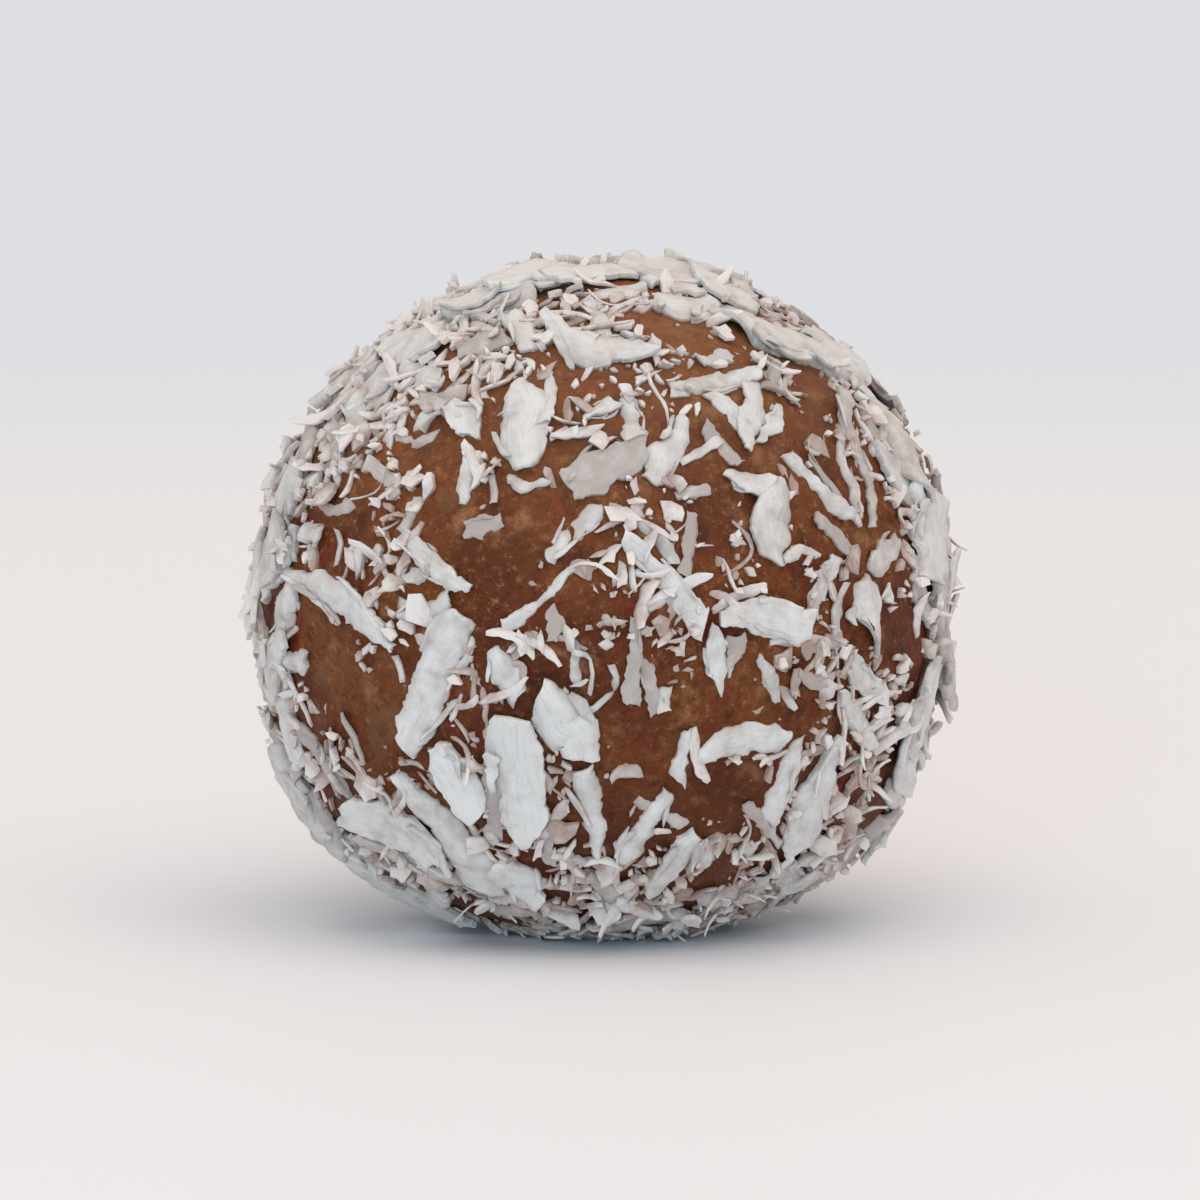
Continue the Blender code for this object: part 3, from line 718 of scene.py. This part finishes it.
def flake_surface(flake):
    """A flake's mesh points as directions and heights, its faces, and the points' places and rim values."""
    rows = int(min(max(round(flake.length / ROW_LENGTH), FEWEST_ROWS), MOST_ROWS))
    if flake.width < 0.6:
        rows = max(FEWEST_ROWS, rows // 2)
    v = np.array(WIDE_COLUMNS if flake.width > 0.9 else SLIM_COLUMNS, float)
    share = np.linspace(0, 1, rows + 1)
    along, across, place = laid_flat(flake, share, v)
    side = place[..., 1]
    wave = flake.crumple * (noise_at(place * (0.5, 0.8, 1.0)) + 0.6 * noise_at(place * (1.6, 2.1, 1.0)))
    ridge = 0.012 * noise_at(place * (0.5, 1 / FIBRE_GAP, 1.0)) * min(flake.width, 1)
    tilt = flake.roll * side + 0.35 * abs(flake.roll) * flake.width
    base = flake.bed(share)[:, None] + tilt + wave + flake.cup * v**2
    edge = 1 - EDGE_THINNING * np.maximum(np.abs(2 * share - 1)[:, None] ** 16, np.abs(v) ** 8)
    top = base + flake.thickness * (0.5 + 0.5 * edge) + ridge
    low = base + flake.thickness * (0.5 - 0.5 * edge)
    ways = ways_from(flake, along, across).reshape(-1, 3)
    heights = np.concatenate((top.ravel(), low.ravel()))
    rim = np.maximum(np.abs(v) ** 4, np.abs(2 * share - 1)[:, None] ** 10).ravel()
    faces = grid_faces(rows, len(v) - 1)
    return np.tile(ways, (2, 1)), heights, faces, np.tile(place.reshape(-1, 3), (2, 1)), np.tile(rim, 2)


def scrap_surface(flake):
    """The same for a scrap: a fan of faces above, one below and a rim between."""
    count = len(flake.corners)
    spots = np.concatenate((((0, 0),), flake.corners))
    slope = flake.lift[1] / (flake.length / 0.6)
    base = flake.under[0] + spots @ (slope, flake.roll) - 0.4 * BED_DEPTH
    place = np.stack((*spots.T, np.full(count + 1, flake.number * NUMBER_STEP)), axis=1)
    top = base + flake.thickness * (1 + 0.5 * noise_at(place * 2.1 + 3))
    ring = [(n + 1, (n + 1) % count + 1) for n in range(count)]
    layer = count + 1
    faces = [(0, a, b) for a, b in ring] + [(layer, b + layer, a + layer) for a, b in ring]
    faces += [(b, a, a + layer, b + layer) for a, b in ring]
    ways = ways_from(flake, spots[:, 0], spots[:, 1])
    rim = np.tile((0, *[1] * count), 2)
    return np.tile(ways, (2, 1)), np.concatenate((top, base)), faces, np.tile(place, (2, 1)), rim


def coconut_piece(name, flakes, look):
    """One mesh of many flakes, which keeps each point's place, nearness to a rim, height and whiteness."""
    ways, heights, faces, places, rims, whiteness = [], [], [], [], [], []
    total = 0
    for flake in flakes:
        surface = flake_surface if flake.corners is None else scrap_surface
        way, height, outline, place, rim = surface(flake)
        ways.append(way)
        heights.append(height)
        faces += [[index + total for index in face] for face in outline]
        places.append(place)
        rims.append(rim)
        whiteness.append(np.full(len(way), flake.whiteness))
        total += len(way)
    ways, heights = np.concatenate(ways), np.concatenate(heights)
    points = ways * (paste_radii(ways) + heights)[:, None]
    points[:, 2] = np.maximum(points[:, 2] + MIDDLE_HEIGHT, FLOOR_GAP)
    mesh = bpy.data.meshes.new(name)
    mesh.from_pydata((points * MM).tolist(), [], faces)
    mesh.update()
    mesh.shade_smooth()
    add_values(mesh, "whiteness", "FLOAT", "value", np.concatenate(whiteness))
    add_values(mesh, "height", "FLOAT", "value", heights)
    add_values(mesh, "rim", "FLOAT", "value", np.concatenate(rims))
    add_values(mesh, "place", "FLOAT_VECTOR", "vector", np.concatenate(places))
    mesh.set_sharp_from_angle(angle=math.radians(42))
    return piece(name, mesh, look)


def add_values(mesh, name, kind, key, values):
    layer = mesh.attributes.new(name, kind, "POINT")
    layer.data.foreach_set(key, np.asarray(values, np.float32).ravel())


def piece(name, mesh, look):
    """An object of the ball that stands for the solid and takes the finish that it is given."""
    made = bpy.data.objects.new(name, mesh)
    made.data.materials.append(look)
    bpy.context.scene.collection.objects.link(made)
    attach(made, "root")
    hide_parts("energy_ball")
    return made


def paste_piece(look):
    """The bare ball, blown up from a cube and roughened by crushed nuts and date skin."""
    shape = bmesh.new()
    bmesh.ops.create_cube(shape, size=2)
    bmesh.ops.subdivide_edges(shape, edges=shape.edges, cuts=PASTE_CELLS - 1, use_grid_fill=True)
    mesh = bpy.data.meshes.new("date_paste")
    shape.to_mesh(mesh)
    shape.free()
    cube = np.empty(len(mesh.vertices) * 3)
    mesh.vertices.foreach_get("co", cube)
    even = np.tan(cube.reshape(-1, 3) * math.pi / 4)
    ways = even / np.linalg.norm(even, axis=1, keepdims=True)
    radii = paste_radii(ways)
    radii += 0.11 * noise_at(ways * 13) + 0.07 * noise_at(ways * 27 + 5) + 0.035 * noise_at(ways * 60 + 9)
    points = ways * radii[:, None]
    points[:, 2] = np.maximum(points[:, 2] + MIDDLE_HEIGHT, 0)
    mesh.vertices.foreach_set("co", (points * MM).ravel())
    mesh.update()
    mesh.shade_smooth()
    return piece("date_paste", mesh, look)


class Shader:
    """A material's nodes, made and joined by short calls."""

    def __init__(self, name):
        self.material = bpy.data.materials.new(name)
        self.material.use_nodes = True
        self.tree = self.material.node_tree
        self.surface = self.tree.nodes["Principled BSDF"]

    def node(self, kind, inputs=(), **settings):
        made = self.tree.nodes.new(kind)
        for key, value in settings.items():
            setattr(made, key, value)
        for key, value in dict(inputs).items():
            self.put(made.inputs[key], value)
        return made

    def put(self, socket, value):
        if isinstance(value, bpy.types.NodeSocket):
            self.tree.links.new(value, socket)
        elif isinstance(value, (int, float)) or len(value) == len(socket.default_value):
            socket.default_value = value
        else:
            socket.default_value = (*value, 1)

    def set(self, **values):
        for key, value in values.items():
            self.put(self.surface.inputs[key.replace("_", " ")], value)

    def value(self, name):
        """A value kept with the mesh."""
        return self.node("ShaderNodeAttribute", attribute_name=name).outputs["Fac"]

    def noise(self, place, scale, detail=2.0, roughness=0.5):
        inputs = {"Vector": place, "Scale": scale, "Detail": detail, "Roughness": roughness}
        return self.node("ShaderNodeTexNoise", inputs).outputs["Fac"]

    def ramp(self, value, low, high, start=0.0, end=1.0):
        """start below low, end above high, and a smooth rise between."""
        inputs = {"Value": value, "From Min": low, "From Max": high, "To Min": start, "To Max": end}
        return self.node("ShaderNodeMapRange", inputs, interpolation_type="SMOOTHSTEP").outputs["Result"]

    def mix(self, share, first, second):
        made = self.node("ShaderNodeMix", data_type="RGBA")
        for socket, value in zip((made.inputs[0], made.inputs[6], made.inputs[7]), (share, first, second)):
            self.put(socket, value)
        return made.outputs[2]

    def sum(self, *values):
        total = values[0]
        for value in values[1:]:
            total = self.node("ShaderNodeMath", {0: total, 1: value}).outputs[0]
        return total

    def times(self, first, second):
        return self.node("ShaderNodeMath", {0: first, 1: second}, operation="MULTIPLY").outputs[0]

    def moved(self, place, factors, shift=(0.0, 0.0, 0.0)):
        """A place with its coordinates multiplied, then shifted."""
        inputs = {0: place, 1: factors, 2: shift}
        return self.node("ShaderNodeVectorMath", inputs, operation="MULTIPLY_ADD").outputs[0]

    def bump(self, height, strength, distance):
        inputs = {"Height": height, "Strength": strength, "Distance": distance}
        self.set(Normal=self.node("ShaderNodeBump", inputs).outputs["Normal"])


# The paste's colours
DEEP_BROWN = (0.108, 0.0235, 0.006)
WARM_BROWN = (0.185, 0.054, 0.013)
RED_BROWN = (0.165, 0.024, 0.008)
TAN = (0.380, 0.180, 0.080)
PALE_TAN = (0.420, 0.220, 0.115)
NEAR_BLACK = (0.040, 0.008, 0.004)
DARK_SPECK = (0.048, 0.010, 0.005)
DATE_SKIN = (0.060, 0.009, 0.006)
NUT = (0.390, 0.240, 0.120)
COCONUT_DUST = (0.42, 0.28, 0.20)
# Painted shade: the paste darkened towards the bottom of the ball
PAINTED_SHADE_LOW = (0.045, 0.011, 0.005)
# Painted light: the paste lightened towards the top of the ball
PAINTED_LIGHT_HIGH = (0.310, 0.145, 0.068)


def date_skin(shader, place, broad):
    """How much date skin shows: thin lines along the middle values of a noise, in some parts of the ball."""
    off_line = shader.sum(shader.noise(place, 0.36, 2.0), -0.5)
    off_line = shader.node("ShaderNodeMath", {0: off_line}, operation="ABSOLUTE").outputs[0]
    return shader.times(shader.ramp(off_line, 0.022, 0.004), shader.ramp(broad, 0.42, 0.60, 0, 0.40))


def nut_pieces(shader, place, middling):
    """How much nut shows: ragged pieces in a few cells of many."""
    cells = shader.node("ShaderNodeTexVoronoi", {"Vector": place, "Scale": 0.40, "Randomness": 1.0})
    gate = shader.node("ShaderNodeSeparateColor", {"Color": cells.outputs["Color"]}).outputs[0]
    edge = shader.sum(cells.outputs["Distance"], shader.times(shader.sum(middling, -0.5), 1.7))
    return shader.times(shader.times(shader.ramp(edge, 0.50, 0.22), shader.ramp(gate, 0.91, 0.94)), 0.16)


def paste_look():
    """Dates ground with nuts: brown, moist and a little see-through, with red skin and specks."""
    shader = Shader("date_paste")
    place = shader.moved(shader.node("ShaderNodeTexCoord").outputs["Object"], (1 / MM,) * 3)
    drift = shader.node("ShaderNodeTexNoise", {"Vector": place, "Scale": 0.5, "Detail": 2.0}).outputs["Color"]
    bent = shader.moved(drift, (3.0,) * 3, place)
    broad = shader.noise(place, 0.16, 3.0)
    red = shader.noise(place, 0.34, 2.0)
    middling = shader.noise(place, 0.62, 4.0, 0.6)
    fine = shader.noise(place, 2.6, 4.0, 0.7)
    grain = shader.noise(place, 7.0, 3.0, 0.7)
    height = shader.node("ShaderNodeSeparateXYZ", {0: place}).outputs[2]
    dust = shader.times(shader.ramp(grain, 0.60, 0.72), shader.ramp(middling, 0.40, 0.60, 0.15, 0.55))

    colour = shader.mix(shader.ramp(broad, 0.36, 0.64), DEEP_BROWN, WARM_BROWN)
    layers = (
        (shader.ramp(red, 0.54, 0.68, 0, 0.75), RED_BROWN),
        (shader.ramp(middling, 0.53, 0.74, 0, 0.65), TAN),
        (shader.ramp(middling, 0.45, 0.28, 0, 0.75), NEAR_BLACK),
        (shader.ramp(fine, 0.50, 0.30, 0, 0.60), DARK_SPECK),
        (shader.ramp(fine, 0.54, 0.74, 0, 0.55), PALE_TAN),
        (date_skin(shader, bent, broad), DATE_SKIN),
        (nut_pieces(shader, bent, middling), NUT),
        (dust, COCONUT_DUST),
        # painted shade, darker towards the bottom of the ball
        (shader.ramp(height, 18.0, 4.0, 0, 0.50), PAINTED_SHADE_LOW),
        # painted light, lighter towards the top of the ball
        (shader.ramp(height, 17.0, 29.0, 0, 0.40), PAINTED_LIGHT_HIGH),
    )
    for share, layer in layers:
        colour = shader.mix(share, colour, layer)

    shader.set(
        Base_Color=colour,
        Roughness=shader.ramp(fine, 0.35, 0.65, 0.34, 0.60),
        Subsurface_Weight=0.25,
        Subsurface_Radius=(1.0, 0.30, 0.12),
        Subsurface_Scale=0.0010,
        Specular_IOR_Level=0.14,
    )
    relief = shader.sum(middling, shader.times(fine, 0.6), shader.times(grain, 0.16))
    shader.bump(relief, 0.8, 0.0003)
    return shader.material


# Coconut: its colour where dry, its colour where wet or thin, and how much whiter it is where heaped high,
# which is partly painted light, over painted shade where it lies low in the hollows
LARGE_LOOK = ((0.68, 0.665, 0.65), (0.42, 0.365, 0.34), 0.10)
FINE_LOOK = ((0.73, 0.675, 0.65), (0.38, 0.275, 0.235), 0.55)
STAINED = (0.33, 0.19, 0.13)  # where paste has soaked into it


def coconut_look(name, white, wet, piled_and_lit):
    """Dried coconut: white and fibrous, greyer where thin, whiter where heaped and lit, with painted shade
    where it lies low, brown at the paste.
    """
    shader = Shader(name)
    place = shader.node("ShaderNodeAttribute", attribute_name="place").outputs["Vector"]
    fibre = shader.noise(shader.moved(place, (0.55, 3.2, 1.0)), 1.6, 3.0, 0.6)
    blotch = shader.noise(place, 1.1, 3.0, 0.6)
    height = shader.value("height")
    patchy = shader.times(shader.sum(blotch, -0.5), 1.8)
    thin = shader.times(shader.value("rim"), -0.24)
    # whiter where heaped high, and painted shade on coconut lying low in the hollows near the paste
    high = shader.ramp(height, 0.05, 0.80, -0.25, piled_and_lit)
    thick = shader.sum(shader.value("whiteness"), patchy, thin, high)

    colour = shader.mix(shader.ramp(thick, -0.10, 1.10), wet, white)
    colour = shader.mix(shader.ramp(fibre, 0.48, 0.30, 0, 0.26), colour, wet)
    colour = shader.mix(shader.ramp(height, 0.10, -0.04, 0, 0.75), colour, STAINED)
    shader.set(
        Base_Color=colour,
        Roughness=0.7,
        Subsurface_Weight=0.30,
        Subsurface_Radius=(1.0, 0.85, 0.72),
        Subsurface_Scale=0.0003,
        Specular_IOR_Level=0.25,
    )
    shader.bump(shader.sum(fibre, blotch), 0.7, 0.00012)
    return shader.material


# The photograph: the lens for its whole frame, the share of the frame that is kept, and where it was taken
PHOTO_LENS = 150
KEPT_FRAME = 520 / 1200
CAMERA_DISTANCE = 524.6
CAMERA_ELEVATION = 7.2


def make_camera():
    data = bpy.data.cameras.new("camera")
    data.lens = PHOTO_LENS / KEPT_FRAME
    data.sensor_width = 36
    data.clip_start = 0.05
    camera = bpy.data.objects.new("camera", data)
    bpy.context.scene.collection.objects.link(camera)
    face_ball(camera, 270, CAMERA_ELEVATION, CAMERA_DISTANCE)
    bpy.context.scene.camera = camera


def face_ball(thing, azimuth, elevation, distance):
    """Puts a lamp or camera this far from the ball's middle and turns it to face it."""
    back = Vector(direction(azimuth, elevation))
    thing.location = Vector((0, 0, MIDDLE_HEIGHT * MM)) + back * distance * MM
    thing.rotation_mode = "QUATERNION"
    thing.rotation_quaternion = (-back).to_track_quat("-Z", "Y")


def area_light(name, azimuth, elevation, distance, size, power, colour):
    """A square lamp that faces the ball."""
    data = bpy.data.lights.new(name, "AREA")
    data.size = size * MM
    data.energy = power
    data.color = colour
    lamp = bpy.data.objects.new(name, data)
    lamp.visible_camera = False
    bpy.context.scene.collection.objects.link(lamp)
    face_ball(lamp, azimuth, elevation, distance)


# The lamps: azimuth and elevation, distance and size in mm, power in watts and colour
LAMPS = {
    "overhead": (285, 62, 2000, 2100, 18.5, (1.0, 0.83, 0.70)),
    "window": (262, 11, 900, 460, 2.9, (0.46, 0.80, 1.0)),
}

# Daylight from all round: how high each colour starts, as the sine of its elevation
SKY = (
    (0.06, (0.728, 0.738, 0.762)),
    (0.30, (0.68, 0.665, 0.665)),
    (1.00, (0.70, 0.60, 0.535)),
)


def make_world():
    """Even daylight: cool grey round the horizon and warm overhead."""
    world = bpy.data.worlds.new("daylight")
    world.use_nodes = True
    tree = world.node_tree
    place = tree.nodes.new("ShaderNodeTexCoord")
    split = tree.nodes.new("ShaderNodeSeparateXYZ")
    ramp = tree.nodes.new("ShaderNodeValToRGB")
    tree.links.new(place.outputs["Generated"], split.inputs[0])
    tree.links.new(split.outputs["Z"], ramp.inputs["Fac"])
    stops = ramp.color_ramp.elements
    stops.new(0.5)
    for stop, (height, colour) in zip(stops, SKY):
        stop.position = height
        stop.color = (*colour, 1)
    tree.links.new(ramp.outputs["Color"], tree.nodes["Background"].inputs["Color"])
    bpy.context.scene.world = world


FLOOR_RADIUS = 300
FLOOR_FADE = (140, 270)  # the floor turns into the backdrop between these distances from the ball


def make_floor():
    """A pale round tabletop whose edge fades into the backdrop."""
    shape = bmesh.new()
    bmesh.ops.create_circle(shape, cap_ends=True, segments=96, radius=FLOOR_RADIUS * MM)
    mesh = bpy.data.meshes.new("floor")
    shape.to_mesh(mesh)
    shape.free()
    shader = Shader("floor")
    metres = shader.node("ShaderNodeTexCoord").outputs["Object"]
    away = shader.node("ShaderNodeVectorMath", {0: metres}, operation="LENGTH").outputs["Value"]
    near, far = (distance * MM for distance in FLOOR_FADE)
    shader.set(Base_Color=(0.85, 0.88, 0.93), Roughness=0.6, Specular_IOR_Level=0.2)
    shader.set(Alpha=shader.ramp(away, near, far, 1.0, 0.0))
    mesh.materials.append(shader.material)
    floor = bpy.data.objects.new("floor", mesh)
    bpy.context.scene.collection.objects.link(floor)


def bare_patches(draw):
    """Directions and radii of the spots that coconut missed."""
    patches = [(seen_at(right, up), radius) for right, up, radius in FRONT_BARE]
    while len(patches) < len(FRONT_BARE) + OTHER_BARE_COUNT:
        middle = unit(draw.normal(0, 1, 3))
        radius = draw.uniform(*OTHER_BARE_RADIUS)
        if middle @ TO_VIEWER < math.cos(math.radians(FRONT_ZONE)):
            patches.append((middle, radius))
    return patches


def make_ball():
    layout, finish = np.random.default_rng(SEED), np.random.default_rng(SEED + 1)
    large = other_flakes(layout, finish) + front_flakes(finish)
    coat = Coat(bare_patches(finish))
    for flake in large:
        coat.lay(flake)
        coat.kept[coat.footprint(flake)[0]] |= flake.width > SLIM and flake.middle @ TO_VIEWER > CLEAR_ZONE
    fine = {kind: scatter(kind, coat, finish) for kind in SCATTER}

    paste_piece(paste_look())
    large_look = coconut_look("coconut_large", *LARGE_LOOK)
    fine_look = coconut_look("coconut_fine", *FINE_LOOK)
    coconut_piece("coconut_flakes", [flake for flake in large if flake.width > SLIM], large_look)
    coconut_piece("coconut_strips", [flake for flake in large if flake.width <= SLIM], large_look)
    for kind, pieces in fine.items():
        coconut_piece(f"coconut_{kind}", pieces, fine_look)


make_camera()
make_world()
for lamp, settings in LAMPS.items():
    area_light(lamp, *settings)
make_floor()
make_ball()
bpy.context.scene.view_settings.view_transform = "Standard"
